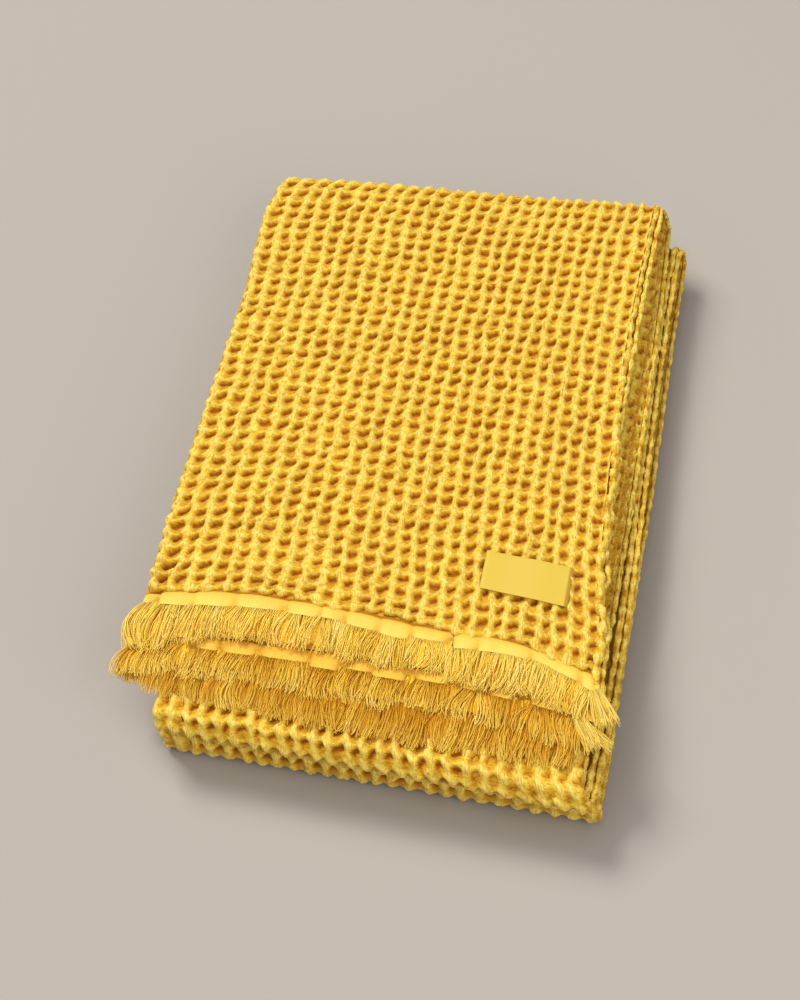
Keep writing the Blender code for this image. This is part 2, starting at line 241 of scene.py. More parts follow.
def unevenStack(x, y, z, hang):
    # the stack's soft waves, none on the floor, and the drop of its free front left corner
    wave = stack["waveHeight"] * np.sin(2 * np.pi * x / stack["wave"][0] + 0.8)
    wave = wave * np.sin(2 * np.pi * y / stack["wave"][1] + 0.4)
    rise = z / stack["height"] * (wave - stack["rightSag"] * smoothStep(x, *stack["sagX"]))
    corner = smoothStep(x, *stack["cornerX"]) * smoothStep(y, *stack["cornerY"])
    z = np.maximum(z + rise - corner * hang, 0.1 * mm)  # pressed flat where it lies on a surface
    return np.stack([x - stack["middle"][0], y - stack["middle"][1], z], axis=-1)


# Meshes from grids of points.

def newObject(name, points, quads):
    # a smooth mesh of four-cornered faces
    mesh = bpy.data.meshes.new(name)
    mesh.vertices.add(len(points))
    mesh.vertices.foreach_set("co", np.asarray(points, np.float32).ravel())
    mesh.loops.add(quads.size)
    mesh.loops.foreach_set("vertex_index", quads.astype(np.int32).ravel())
    mesh.polygons.add(len(quads))
    mesh.polygons.foreach_set("loop_start", np.arange(0, quads.size, quads.shape[1], dtype=np.int32))
    mesh.polygons.foreach_set("use_smooth", np.full(len(quads), True))
    mesh.update(calc_edges=True)
    obj = bpy.data.objects.new(name, mesh)
    scene.collection.objects.link(obj)
    return obj


def gridQuads(rows, columns, closed=False):
    # corner numbers of a grid's cells; closed joins the last column to the first
    index = np.arange(rows * columns).reshape(rows, columns)
    if closed:
        index = np.concatenate([index, index[:, :1]], axis=1)
    corners = [index[:-1, :-1], index[1:, :-1], index[1:, 1:], index[:-1, 1:]]
    return np.stack(corners, axis=-1).reshape(-1, 4)


def addNumbers(obj, name, values):
    # one number at each point, for the material to read
    attribute = obj.data.attributes.new(name, "FLOAT", "POINT")
    attribute.data.foreach_set("value", np.asarray(values, np.float32).ravel())


def addUv(obj, u, v):
    # a UV map from a u and a v at each point
    corners = np.empty(len(obj.data.loops), np.int32)
    obj.data.loops.foreach_get("vertex_index", corners)
    uv = np.stack([np.ravel(u)[corners], np.ravel(v)[corners]], axis=-1)
    obj.data.uv_layers.new(name="weave").data.foreach_set("uv", uv.astype(np.float32).ravel())


def joinGrids(name, grids):
    # several grids as one mesh, each of them points, quads, u, v and how light each point is
    firsts = np.cumsum([0] + [points.size // 3 for points, *rest in grids])
    points = np.concatenate([grid[0].reshape(-1, 3) for grid in grids])
    quads = np.concatenate([grid[1] + first for grid, first in zip(grids, firsts)])
    u, v, light = (np.concatenate([np.ravel(grid[n]) for grid in grids]) for n in (2, 3, 4))
    obj = newObject(name, points, quads)
    addUv(obj, u, v)
    addNumbers(obj, "crest", light)
    return obj


# The waffle weave.

waffle = {
    "crest": 1.9 * mm,  # column cords' tops above the cloth's middle
    "pit": -2.3 * mm,
    "shallow": (1.3 * mm, -0.9 * mm),  # crest and pit where layers lie close over each other
    "seed": 11,
    "cells": (0.929, 0.936),  # woven cells to each column and each row of the grid, to the photo's pitch
    "lastCrest": 0.15,  # of a cell, from the hem to the first bundle's crest
    "cordHalf": 0.27,  # of a cell, between crossings
    "cordSwell": 0.13,  # more at a crossing
    "cordLow": 0.80,  # height between crossings against 1 on them
    "bundleFront": 0.17,
    "bundleBack": 0.72,
    "bundleSwell": 0.10,
    "lip": 0.36,  # of the back slope, taken by the rounded crest; behind it lies a lower shelf
    "shelf": 0.60,
    "bundleLow": 0.62,
    "bundleRise": 0.34,
    "skew": 0.10,  # of a cell, how far a bundle's crest swings back and forth between two cords
    "sag": 0.05,  # how far it hangs forward between them
    "shadow": 0.30,  # darker under a bundle's crest than its height alone makes it
    "edgeDrop": 1.1 * mm,  # the last row against the others
    "edgeWall": -2.2 * mm,
    "scallop": 0.22,  # of a row, how far the edge draws back between cords
    "edgeWander": 0.14,
    "fuzz": 0.10 * mm,
    "wander": 0.085,  # of a cell, of cords and bundles from their even places
    "topSamples": (12, 11),  # to a column and to a row
}
chance = np.random.default_rng(waffle["seed"])
noiseTables = chance.normal(0.0, 1.0, (8, 256, 256))


def smoothNoise(table, x, y):
    # random numbers at whole x and y with smooth steps between them
    x0, y0 = np.floor(x).astype(int), np.floor(y).astype(int)
    fx, fy = x - x0, y - y0
    fx, fy = fx * fx * (3 - 2 * fx), fy * fy * (3 - 2 * fy)
    grid = noiseTables[table]
    near = grid[x0 % 256, y0 % 256] * (1 - fx) + grid[(x0 + 1) % 256, y0 % 256] * fx
    far = grid[x0 % 256, (y0 + 1) % 256] * (1 - fx) + grid[(x0 + 1) % 256, (y0 + 1) % 256] * fx
    return near * (1 - fy) + far * fy


def roundTop(offset, power=2.2):
    # 1 in the middle of a yarn, falling like an oval to 0 at its edge
    return np.sqrt(np.clip(1 - np.abs(offset) ** power, 0.0, 1.0))


def waffleHeight(column, row, towardsFront=1.0):
    # 0 in the pits to about 1.1 on the crossings, and how light each place is in the same measure: painted
    # shade, darker the lower it lies and darker still under each bundle's crest.
    # Cords run from hem to hem, oval across, and swell at each crossing. Bundles run across and sag
    # between cords: a round crest, steep in front, then a shelf behind it; the crests swing like a sine
    # from cord to cord. The larger of both counts, blended by the fifth root of their fifth powers.
    column, row = np.broadcast_arrays(column * waffle["cells"][0], row * waffle["cells"][1])
    c = column + waffle["wander"] * smoothNoise(0, column, row)
    c = c + 0.035 * smoothNoise(1, 2.3 * column, 2.3 * row)
    r = row + waffle["wander"] * smoothNoise(2, column, row)
    r = r + 0.04 * smoothNoise(3, 2.3 * column, 2.3 * row)
    size = 1.0 + 0.10 * smoothNoise(4, column, row)
    dc = c - np.round(c)
    swing = waffle["skew"] * np.sin(2 * np.pi * c) + waffle["sag"] * np.cos(2 * np.pi * c)
    p = (waffle["lastCrest"] - r + swing) * towardsFront % 1.0  # from a bundle's crest towards the front
    onCord = 0.5 + 0.5 * np.cos(2 * np.pi * dc)
    onBundle = 0.5 + 0.5 * np.cos(2 * np.pi * (p + 0.04))
    cordHalf = (waffle["cordHalf"] + waffle["cordSwell"] * onBundle**1.6) * size
    cord = (waffle["cordLow"] + (1 - waffle["cordLow"]) * onBundle) * roundTop(dc / cordHalf, 2.2)
    swell = waffle["bundleSwell"] * onCord**1.5
    front = roundTop(p / (waffle["bundleFront"] + swell) / size)
    behind = (1 - p) / (waffle["bundleBack"] + swell) / size
    shelf = waffle["shelf"] * (1.1 - 0.3 * behind) * (1 - smoothStep(behind, 0.60, 1.0))
    back = (roundTop(behind / waffle["lip"]) ** 4 + shelf**4) ** 0.25
    top = waffle["bundleLow"] + waffle["bundleRise"] * onCord
    bundle = top * np.clip(np.maximum(front, back), 0.0, 1.0)
    lump = 1.0 + 0.07 * smoothNoise(5, 3.1 * column, 3.1 * row)
    lump = lump + 0.07 * smoothNoise(6, 5.7 * column, 5.7 * row)
    height = (cord**5 + bundle**5) ** 0.2 * lump
    # painted shade under the steep front of each bundle's crest, but not on the cords
    under = smoothStep(p, 0.04, 0.13) * (1 - smoothStep(p, 0.30, 0.48)) * (1 - smoothStep(cord, 0.35, 0.8))
    return height, height * (1 - waffle["shadow"] * under)


def wafflePatch(columns, rows, samples, relief=None, towardsFront=1.0, scallop=False):
    # part of the cloth from one column to another and one row to another, with the relief of its weave
    across = np.linspace(*columns, int(round((columns[1] - columns[0]) * samples[0])) + 1)
    along = np.linspace(*rows, int(round((rows[1] - rows[0]) * samples[1])) + 1)
    column, row = np.meshgrid(across, along, indexing="ij")
    height, light = waffleHeight(column, row, towardsFront)
    crest, pit = relief or (waffle["crest"], waffle["pit"])
    lift = crest - (crest - pit) * (1 - height)
    lift = lift + waffle["fuzz"] * np.random.default_rng(len(along)).normal(size=lift.shape)
    placed = row
    if scallop:  # the front edge falls to the band, and draws back a little between cords
        lift = lift - waffle["edgeDrop"] * (1 - smoothStep(row, 0.0, 0.9))
        lift = np.where(row < -0.04, np.minimum(lift, waffle["edgeWall"]), lift)
        # painted shade: the edge's wall down to the band is coloured dark
        light = np.where(row < -0.04, 0.1, light)
        cords = column * waffle["cells"][0] + 0.08 * smoothNoise(7, 0.7 * column, 0 * row)
        drawn = waffle["scallop"] * (1 - np.abs(np.cos(np.pi * cords)))
        drawn = drawn + waffle["edgeWander"] * smoothNoise(7, 0.35 * column, 3.0 + 0 * row)
        placed = row + drawn * (1 - smoothStep(row, 0.0, 1.6))
    points = foldedPoints(column, placed, lift)
    quads = gridQuads(len(across), len(along))
    return points, quads, column * stack["cell"], row * stack["cell"], light


# each patch from one column to another, from one row to another, and its samples to a column and to a row
waffleBack = joinGrids("waffleTopBack", [wafflePatch((0.1, 29.9), (20.4, 39.6), waffle["topSamples"])])
waffleTop = joinGrids("waffleTopFront", [
    wafflePatch((0.1, 29.9), (-0.1, 20.4), waffle["topSamples"], scallop=True)])
print("top of the cloth", len(waffleTop.data.polygons) + len(waffleBack.data.polygons), "faces")

frontFolds = joinGrids("waffleFrontFolds", [
    wafflePatch((28.6, 57.6), (rowStarts[3] - 5.2, rowStarts[4] + 1.5), (10, 10), towardsFront=-1.0),
    wafflePatch((28.6, 57.6), (rowStarts[7] - 2.0, rowStarts[8] + 0.6), (10, 10), towardsFront=-1.0),
])
print("front folds", len(frontFolds.data.polygons), "faces")

# the layers' right edges where they lie face up, and the turn between the third and fourth layer
shallow = waffle["shallow"]
sides = joinGrids("waffleSides", [
    wafflePatch((51.6, 60.0), (0.0, rowStarts[-1]), (6, 5), relief=(1.6 * mm, -1.1 * mm)),
    wafflePatch((107.4, 111.8), (rowStarts[1] - 1.0, rowStarts[3]), (6, 5), relief=shallow),
    wafflePatch((107.4, 111.8), (rowStarts[5] - 1.0, rowStarts[7]), (6, 5), relief=shallow),
    wafflePatch((0.4, 3.4), (rowStarts[4], rowStarts[5]), (6, 5)),
    wafflePatch((0.4, 3.4), (rowStarts[8], rowStarts[9]), (6, 5)),
])
leftTurns = joinGrids("waffleLeftTurns", [wafflePatch((26.4, 30.9), (39.6, rowStarts[-1]), (5, 5))])
backFold = joinGrids("waffleBackFold", [
    wafflePatch((0.4, 29.0), (rowStarts[5] - 1.5, rowStarts[6] + 1.5), (8, 8)),
])
underSide = joinGrids("waffleUnderside", [
    wafflePatch((30.6, 54.4), (rowStarts[8] + 0.4, rowStarts[-1]), (3, 3),
                relief=(0.95 * mm, waffle["pit"])),
])
print("sides and back", sum(len(o.data.polygons) for o in (sides, leftTurns, backFold, underSide)), "faces")


backing = {
    "lift": 0.8 * mm,  # of the inner layers
    "deeper": 3.8 * mm,  # the outer layers, so that they keep clear of the woven faces' pits
    "low": -1.25 * mm,  # under the woven faces of the right turn and of the lower selvedge
    # painted shade: the sheet behind the woven faces is coloured darker than the crests
    "light": 0.42,
}


def plainSheet():
    # the whole cloth as a grid of its columns and rows, thin and plain, behind the woven faces
    shares = np.concatenate([[0.0, 0.02], np.linspace(0.06, 0.94, 12), [0.98]])
    turnShares = np.linspace(0.0, 1.0, 7)[:-1]
    across = np.concatenate([
        start + count * (turnShares if n % 2 else shares)
        for n, (start, count) in enumerate(zip(columnStarts, columnCounts))
    ] + [columnStarts[-1:] - 0.05])
    along = np.concatenate([
        start + count * np.linspace(0.0, 1.0, 9 if n % 2 else 15)[:-1]
        for n, (start, count) in enumerate(zip(rowStarts, rowCounts))
    ] + [rowStarts[-1:]])
    column, row = np.meshgrid(across, along, indexing="ij")
    h = sectionAt(column)[1]
    outerLayer = smoothStep(np.abs(h), stack["inner"], stack["outer"])
    lift = backing["lift"] - backing["deeper"] * outerLayer
    secondRun = (row > rowStarts[1]) & (row < rowStarts[3])
    fourthRun = (row > rowStarts[5]) & (row < rowStarts[7])
    low = ((column > 50.0) & (column < 61.0)) | ((column > 106.0) & (secondRun | fourthRun))
    lift = np.where(low, backing["low"], lift)
    quads = gridQuads(len(across), len(along))
    u, v = column * stack["cell"], row * stack["cell"]
    return foldedPoints(column, row, lift), quads, u, v, backing["light"] + 0 * row


blanketCloth = joinGrids("blanketCloth", [plainSheet()])
print("whole cloth", len(blanketCloth.data.polygons), "faces")

# The plain bands at the hems.

header = {
    "pleat": 2.3,  # columns from one crease to the next
    "ripple": 4.2 * mm,  # height of the pleats
    "rest": -0.3 * mm,
    "tuck": -1.5 * mm,  # where the band comes out from under the waffle
    "pull": (0.22, 0.09),  # of the band's width, by the pleat's height and by its own share
    "frontSamples": (8, 11),
    "farSamples": (4, 8),
    "farRipple": 0.3,  # the far band lies flatter
}


def pleatAt(column):
    # place in the pleat from 0 to 1, and each pleat's own number
    place = column / header["pleat"] + 0.35 * smoothNoise(5, 0.42 * column, 0 * column + 9.0)
    return place - np.floor(place), smoothNoise(6, np.floor(place), 0 * place + 17.0)


def headerRipple(column, share):
    # round pleats between narrow creases, at uneven places: a power of a parabola from crease to crease,
    # pushed over so that the right side of each falls more steeply
    part, own = pleatAt(column)
    pleat = (4 * part**1.5 * (1 - part**1.5)) ** 0.5
    rest = header["rest"] + (header["tuck"] - header["rest"]) * (1 - smoothStep(share, 0.0, 0.2))
    deep = 0.35 + 0.65 * smoothStep(share, 0.1, 0.9)
    return rest + header["ripple"] * (pleat - 0.80 + 0.12 * own) * deep


def headerPull(column, ripple):
    # the band's edge comes forward on each pleat's top and draws back at its creases
    high, own = header["pull"]
    return high * (ripple - header["rest"]) / header["ripple"] + own * pleatAt(column)[1]


def headerBand(columns, far, backTo):
    # a stretch of the band from a share of its width behind the waffle's edge to its own edge
    perColumn, steps = header["farSamples" if far else "frontSamples"]
    across = np.linspace(*columns, int((columns[1] - columns[0]) * perColumn))
    share = np.concatenate([[backTo], np.linspace(-0.10, 1.0, steps)])
    column, share = np.meshgrid(across, share, indexing="ij")
    ripple = headerRipple(column, share) * (header["farRipple"] if far else 1.0)
    pulled = share + headerPull(column, ripple) * smoothStep(share, 0.1, 1.0)
    row = rowStarts[-1] + pulled if far else -pulled
    points = foldedPoints(column, row, ripple * sectionAt(column)[3])  # pleats stand up from every layer
    quads = gridQuads(*column.shape)
    if not far:
        quads = quads[:, ::-1]
    # painted shade: darker where the band tucks under the waffle, in its creases, and on the lower layers'
    # bands under the tier above
    hollow = smoothStep((ripple - header["rest"]) / header["ripple"], -0.55, -0.05)  # 0 in the creases
    shade = (0.22 + 0.78 * hollow) * np.where(layerOf(column) > 1, 0.22, 1.0)
    return points, quads, column * stack["cell"], row * stack["cell"], share * shade


hemBands = joinGrids("hemBands", [
    headerBand((0.0, 29.4), False, -0.15),
    headerBand((29.4, columnStarts[-1] - 0.05), False, -1.4),
    headerBand((0.0, columnStarts[-1] - 0.05), True, -0.15),
])
print("bands at the hems", len(hemBands.data.polygons), "faces")

# The fringes.

fringe = {
    "strands": 41,  # to a column
    "steps": 7,
    "farStrands": 11,
    "farSteps": 6,
    "radius": 0.40 * mm,
    "taper": 0.6,  # the tip's radius against the root's
    "loyal": 0.6,  # share of the strands that keep wholly to their lock
    "lockWidth": (0.45, 1.15),  # in columns
    "gather": (-0.08, 0.19),  # share of the way to their lock's middle that strands draw at the tip
    "lean": 0.085,  # of a lock, as a share of its length
    "curl": 0.11,
    "ownBend": 0.07,  # of each strand, in lean and in curl
    "reach": 1.02,  # of the way from the root line to the tip line
    "uneven": 0.05,  # of that way, by lock and by strand
    "fluff": 1.0 * mm,  # rise at the tips, by lock and by strand
    "waver": (0.7 * mm, 0.5 * mm),  # of single strands, sideways and up
    "lowest": 0.45 * mm,
    "tone": 0.68,
    "toneSpread": 0.10,
    # by layer: lean of all strands, more of it at the left turn, the bend back there, and how far in
    # from the turn both fade, in mm
    "leftLean": {1: (-0.06, -0.31, 0.42, 9.0), 2: (-0.04, -0.46, 0.0, 24.0), 3: (-0.05, -0.28, 0.0, 24.0),
                 4: (-0.05, 0.0, 0.0, 20.0)},
    "drop": {1: 0.8 * mm, 2: 2.6 * mm, 3: 4.2 * mm, 4: 3.0 * mm},
    "paintedTierShade": {1: 0.0, 2: 0.30, 3: 0.44, 4: 0.44},  # painted shade: the lower tiers are darker, as under the tier above
    "paintedTipLight": 0.50,  # painted light: the lower tiers grow lighter from their roots to their tips
    "longer": {1: 1.5 * mm, 2: 0.5 * mm, 3: 0.0, 4: 0.0},
    "farLength": 20.0 * mm,
    "seed": 5,
}


def byLayer(table, column):
    # what the table gives for each column's layer, with a tuple's values first
    return np.array([table[n] for n in (1, 2, 3, 4)]).T[..., layerOf(column) - 1]


def strandTubes(paths, radius):
    # three-sided tubes along paths (strand, step, xyz), whose rings of corners get smaller to the tip
    along = np.gradient(paths, axis=1)
    along /= np.linalg.norm(along, axis=-1, keepdims=True)
    side = np.cross(along, (0.0, 0.0, 1.0))
    side /= np.linalg.norm(side, axis=-1, keepdims=True) + 1e-9
    over = np.cross(side, along)
    angles = np.array([0.5, 0.5 + 2 / 3 * np.pi, 0.5 + 4 / 3 * np.pi])
    thin = np.linspace(1.0, fringe["taper"], paths.shape[1])[None, :, None, None]
    ring = np.cos(angles)[:, None] * side[:, :, None] + np.sin(angles)[:, None] * over[:, :, None]
    points = paths[:, :, None] + radius * thin * ring
    count, steps = paths.shape[:2]
    quads = gridQuads(steps, 3, closed=True)
    quads = (quads[None] + np.arange(count)[:, None, None] * steps * 3).reshape(-1, 4)
    return points, quads


def tubeGrid(paths, radius, tone, towardsTip=0.0):
    # tubes with the strand's tone in u, which changes towards its tip, and the share of its length in v
    points, quads = strandTubes(paths, radius)
    along = np.broadcast_to(np.linspace(0, 1, paths.shape[1])[None, :, None], points.shape[:3])
    tone = tone[:, None, None] + np.reshape(towardsTip, (-1, 1, 1)) * (along - 0.5)
    return points, quads, tone, along, along


def strandPaths(column, far, steps, spread, fluff, reach, sideways, bow, drawn, pleated=0.5):
    # a strand goes straight out from the band's edge by its length times t, leans and bows sideways, curls
    # round the left turn, rises a little in its middle and falls by its layer's drop times t to the 2.2
    ripple = headerRipple(column, np.ones(len(column))) * (header["farRipple"] if far else 1.0)
    edge = 1.0 + headerPull(column, ripple)
    edge = rowStarts[-1] + edge if far else -edge
    root = foldedPoints(column, edge, (pleated * ripple + 0.5 * mm * spread) * sectionAt(column)[3])
    t = np.linspace(0.0, 1.0, steps)[None, :]
    if far:
        length, tilt, drop = np.full(len(column), fringe["farLength"]), 0.0, 0.0
        curl = back = np.zeros(len(column))
    else:
        tilt, extra, back, fade = byLayer(fringe["leftLean"], column)
        length = frontLine("root", column) - frontLine("tip", column) + byLayer(fringe["longer"], column)
        atTurn = np.exp(-np.clip(sectionAt(column)[0], 0.0, None) / mm / fade)
        curl, back = extra * atTurn, back * atTurn
        sideways, bow, drawn = (part * (1 - 0.8 * atTurn) for part in (sideways, bow, drawn))
        drop = byLayer(fringe["drop"], column)[:, None]
    length = (length * reach)[:, None]
    sideways = (tilt + sideways)[:, None]
    x = root[:, :1] + drawn[:, None] * t**1.3 + length * sideways * t
    x = x + length * curl[:, None] * (1.6 * t - t**2) / 0.6
    x = x + length * (bow[:, None] * np.sin(np.pi * t) * (0.4 + 0.6 * t) + back[:, None] * t**2)
    y = root[:, 1:2] + length * t * (1.0 if far else -1.0)
    z = root[:, 2:] + fluff[:, None] * t * (0.5 if far else 1.0)
    z = z - 0.5 * mm * t if far else z + 0.8 * mm * np.sin(np.pi * t) - drop * t**2.2
    return np.stack([x, y, z], axis=-1)


def fringeGrid(ranges, far, density, seed, steps):
    # strands in locks that lean, curl and draw together, where some strands only fill between locks
    luck = np.random.default_rng(seed)
    column = np.concatenate([luck.uniform(a, b, int((b - a) * density)) for a, b in ranges])
    count = len(column)
    loyal = np.where(luck.uniform(size=count) < fringe["loyal"], 1.0, luck.uniform(0.0, 0.5, count))
    edges = np.cumsum(luck.uniform(*fringe["lockWidth"], 260)) - 0.5
    lock = np.maximum(np.searchsorted(edges, column), 1)
    middle = np.clip(0.5 * (edges[lock] + edges[lock - 1]), 0.0, columnStarts[-1] - 0.01)
    gather = luck.uniform(*fringe["gather"], len(edges) + 1)[lock] * loyal
    lean, curl, raised, reach, shade = luck.normal(0.0, 1.0, (5, len(edges) + 1))[:, lock] * loyal
    drawn = gather * (foldedPoints(middle, -1.0, 0.0) - foldedPoints(column, -1.0, 0.0))[:, 0]
    spread = luck.uniform(-1.0, 1.0, count) * (0.6 + 0.4 * loyal) - 0.4 * (1 - loyal)
    ownReach, ownLean, ownCurl, ownTone, ownWave, ownLift = luck.normal(size=(6, count))
    paths = strandPaths(
        column, far, steps, spread,
        fluff=fringe["fluff"] * spread + fringe["fluff"] * np.abs(raised),
        reach=fringe["reach"] + fringe["uneven"] * reach + fringe["uneven"] * ownReach,
        sideways=fringe["lean"] * lean + fringe["ownBend"] * ownLean,
        bow=fringe["curl"] * curl + fringe["ownBend"] * ownCurl, drawn=drawn)
    turns = np.linspace(0.0, 1.1, steps) + luck.uniform(size=(count, 1))
    wave = np.sin(2 * np.pi * turns) * np.linspace(0, 1, steps)
    sideWaver, upWaver = fringe["waver"]
    paths[..., 0] += sideWaver * ownWave[:, None] * wave
    paths[..., 2] = np.maximum(paths[..., 2] + upWaver * ownLift[:, None] * wave, fringe["lowest"])
    # painted shade on the lower tiers, lighter towards their tips
    lower = byLayer(fringe["paintedTierShade"], column)
    tone = fringe["tone"] + fringe["toneSpread"] * ownTone + fringe["toneSpread"] * shade - lower
    return tubeGrid(paths, fringe["radius"], np.clip(tone, 0.14, 1.0), fringe["paintedTipLight"] * (lower > 0))


fringeSheet = {
    "steps": 5,
    "frontStep": 0.07,  # of a column, from one sample to the next
    "farStep": 0.12,
    # painted shade: the sheet is darker than the strands
    "tone": 0.46,
    "ribTone": 0.16,
    "paintedTipLight": 0.2,
    "reach": 0.80,  # against the strands' length
    "below": 0.9 * mm,
    "lowest": 0.3 * mm,
}


def fringeFill(columns, far):
    # a thin sheet along the same paths, under the strands, which closes the view between them; it is
    # painted darker than the strands as shade between them, lighter towards the tips, and its stripes of
    # tone are noise across it
    steps = fringeSheet["steps"]
    column = np.arange(columns[0], columns[1], fringeSheet["farStep" if far else "frontStep"])
    uneven = smoothNoise(7, 4.0 * column, 0 * column + 31.0)
    rib = fringeSheet["tone"] + fringeSheet["ribTone"] * smoothNoise(6, 13.0 * column, 0 * column + 31.0)
    still = np.zeros(len(column))
    paths = strandPaths(
        column, far, steps, still, fluff=-1.4 * mm + 0.4 * mm * uneven,
        reach=fringeSheet["reach"] + 0.05 * uneven, sideways=still, bow=still, drawn=still, pleated=0.0)
    paths[..., 2] = np.maximum(paths[..., 2] - fringeSheet["below"], fringeSheet["lowest"])
    quads = gridQuads(len(column), steps)
    along = np.broadcast_to(np.linspace(0, 1, steps)[None, :], paths.shape[:2])
    tone = rib[:, None] + fringeSheet["paintedTipLight"] * (along - 0.5)
    return paths, quads if far else quads[:, ::-1], tone, along, along


def tassel(root, heading, width, length, count, seed, curl):
    # a flat bunch of strands that opens from its root's width to its tips' width in mm, and bends
    # sideways by curl times its length times t squared
    luck = np.random.default_rng(seed)
    heading = np.array(heading) / np.linalg.norm(heading)
    side = np.cross(heading, (0.0, 0.0, 1.0))
    across, over = luck.uniform(-0.5, 0.5, (2, count, 1, 1))
    t = np.linspace(0.0, 1.0, fringe["steps"])[:, None]
    reach = (length * (1 + 0.06 * luck.normal(size=count)))[:, None, None]
    stray = 0.04 * reach * luck.normal(size=(count, 1, 1)) * np.sin(np.pi * t)
    apart = across * mm * (width[0] + (width[1] - width[0]) * t**1.2)
    paths = np.array(root) + reach * heading * t + (apart + stray + reach * curl * t**2) * side
    up = np.array([0.0, 0.0, 1.0])
    paths = paths + over * (2.4 + 2.0 * t) * mm * up - 1.5 * mm * t**2 * up
    tone = np.clip(0.72 + 0.13 * luck.normal(size=count), 0.0, 1.0)
    return tubeGrid(paths, fringe["radius"], tone)


frontRanges = [(0.3, 29.4), (29.4, 56.0), (57.0, 84.4), (84.4, columnStarts[-1] - 0.8)]
farRanges = [(0.3, 28.0), (29.4, 56.0), (57.0, 83.6), (84.4, columnStarts[-1] - 0.8)]
cordEnd = foldedPoints(np.array([-0.02]), np.array([-0.92]), 0.6 * mm)[0]
# at the front right corner, each with its root, heading, widths, length, strands, seed and curl
tassels = [
    (cordEnd, (0.45, -0.88, -0.10), (6.0, 15.0), 23.0 * mm, 120, 21, 0.0),
    ((141.0 * mm, -201.0 * mm, 56.5 * mm), (0.68, -0.66, -0.14), (4.5, 11.0), 22.0 * mm, 90, 22, 0.14),
    ((148.0 * mm, -205.0 * mm, 53.0 * mm), (0.80, -0.55, -0.25), (3.0, 8.0), 19.0 * mm, 22, 23, 0.0),
]
frontFringe = joinGrids("frontFringe", [
    fringeGrid(frontRanges, False, fringe["strands"], fringe["seed"], fringe["steps"]),
    *(fringeFill(columns, False) for columns in frontRanges),
    *(tassel(*values) for values in tassels),
])
farFringe = joinGrids("farFringe", [
    fringeGrid(farRanges, True, fringe["farStrands"], fringe["seed"] + 1, fringe["farSteps"]),
    *(fringeFill(columns, True) for columns in farRanges),
])
print("fringes", len(frontFringe.data.polygons), len(farFringe.data.polygons), "faces")

# The rolled selvedges.

selvedge = {
    "radius": 2.5 * mm,
    "lowerRadius": 1.9 * mm,
    "freeRings": 14,  # to a row, along the top run
    "rings": 6,
    "freeRows": (17.0, 24.0),  # it stands free up to the first, and lies lower from the second
    "lower": 0.8 * mm,
    "waver": (0.11, 0.35 * mm),  # sideways in columns, and up
    "bead": 0.20,  # of the radius
    "sides": 11,
    "girth": 12,  # in mm, about the way round it in the yarns' UV map
    "fuzz": 0.17 * mm,
    "seed": 3,
}


def selvedgeTube(column, lift, radius):
    # a fuzzy cord along the cloth's side edge, with rounded ends: its radius swells by the cosine of the
    # place between bundles, shifted by the sine of the angle round it, and by noise
    rows = np.concatenate([
        np.arange(-1.0, rowStarts[1], 1 / selvedge["freeRings"]),
        np.arange(rowStarts[1], rowStarts[-1], 1 / selvedge["rings"]),
    ])
    free = 1 - smoothStep(rows, *selvedge["freeRows"])
    wave = smoothNoise(6, 0.62 * rows, 0 * rows + 40 * column)
    sideWaver, upWaver = selvedge["waver"]
    rise = lift * free + upWaver * wave - selvedge["lower"] * (1 - free)
    path = foldedPoints(column + sideWaver * wave * free, rows, rise)
    angle = np.linspace(0, 2 * np.pi, selvedge["sides"], endpoint=False)[None, :]
    turned = 2 * np.pi * (rows[:, None] * waffle["cells"][1] - waffle["lastCrest"]) + 0.8 * np.sin(angle)
    bead = 1.0 + selvedge["bead"] * np.cos(turned + 1.2 * smoothNoise(2, 0.4 * rows[:, None], 0 * angle))
    bead = bead + 0.22 * smoothNoise(3, 1.9 * rows[:, None], angle * 1.3 + 20 * column)
    bead = bead + 0.11 * smoothNoise(4, 5.1 * rows[:, None], angle * 3)
    thin = 1.0 - 0.12 * smoothStep(-rows, -0.5, 0.8) - 0.18 * (1 - free)
    cap = roundTop(1 - np.clip(np.minimum(rows - rows[0], rows[-1] - rows) / 0.25, 0.0, 1.0), 2.0)
    along = np.gradient(path, axis=0)
    along /= np.linalg.norm(along, axis=-1, keepdims=True)
    side = np.cross(along, (0.0, 0.0, 1.0))
    side[np.abs(along[:, 2]) > 0.9] = (1.0, 0.0, 0.0)
    side /= np.linalg.norm(side, axis=-1, keepdims=True)
    over = np.cross(side, along)
    reach = radius * bead * thin[:, None]
    luck = np.random.default_rng(selvedge["seed"])
    reach = (reach + selvedge["fuzz"] * luck.normal(size=reach.shape)) * cap[:, None]
    points = path[:, None] + reach[..., None] * (
        np.cos(angle)[..., None] * side[:, None] + np.sin(angle)[..., None] * over[:, None])
    quads = gridQuads(len(rows), selvedge["sides"], closed=True)
    u = np.broadcast_to(angle / 6.28 * selvedge["girth"] * mm, points.shape[:2])
    v = np.broadcast_to(rows[:, None] * stack["cell"], points.shape[:2])
    # painted light and shade: lighter where the cord swells, darker where it thins
    return points, quads, u, v, 0.72 + 1.0 * (bead - 1.0)


rolledEdge = joinGrids("rolledSelvedges", [
    selvedgeTube(-0.02, 1.0 * mm, selvedge["radius"]),
    selvedgeTube(columnStarts[-1] + 0.05, -0.2 * mm, selvedge["lowerRadius"]),
])

# The woven label.

label = {
    "width": 58.0 * mm,
    "depth": 30.0 * mm,
    "thickness": 0.7 * mm,
    "centre": (94.3 * mm, -105.9 * mm),
    "turn": math.radians(-8.8),
    "skew": 0.03,
    "rest": 3.1 * mm,  # over the top layer's middle
    "buckle": 0.45 * mm,
    "tuckedEnd": 0.045,  # share of the width that each turned-under end takes
    "endDrop": 0.8 * mm,
}


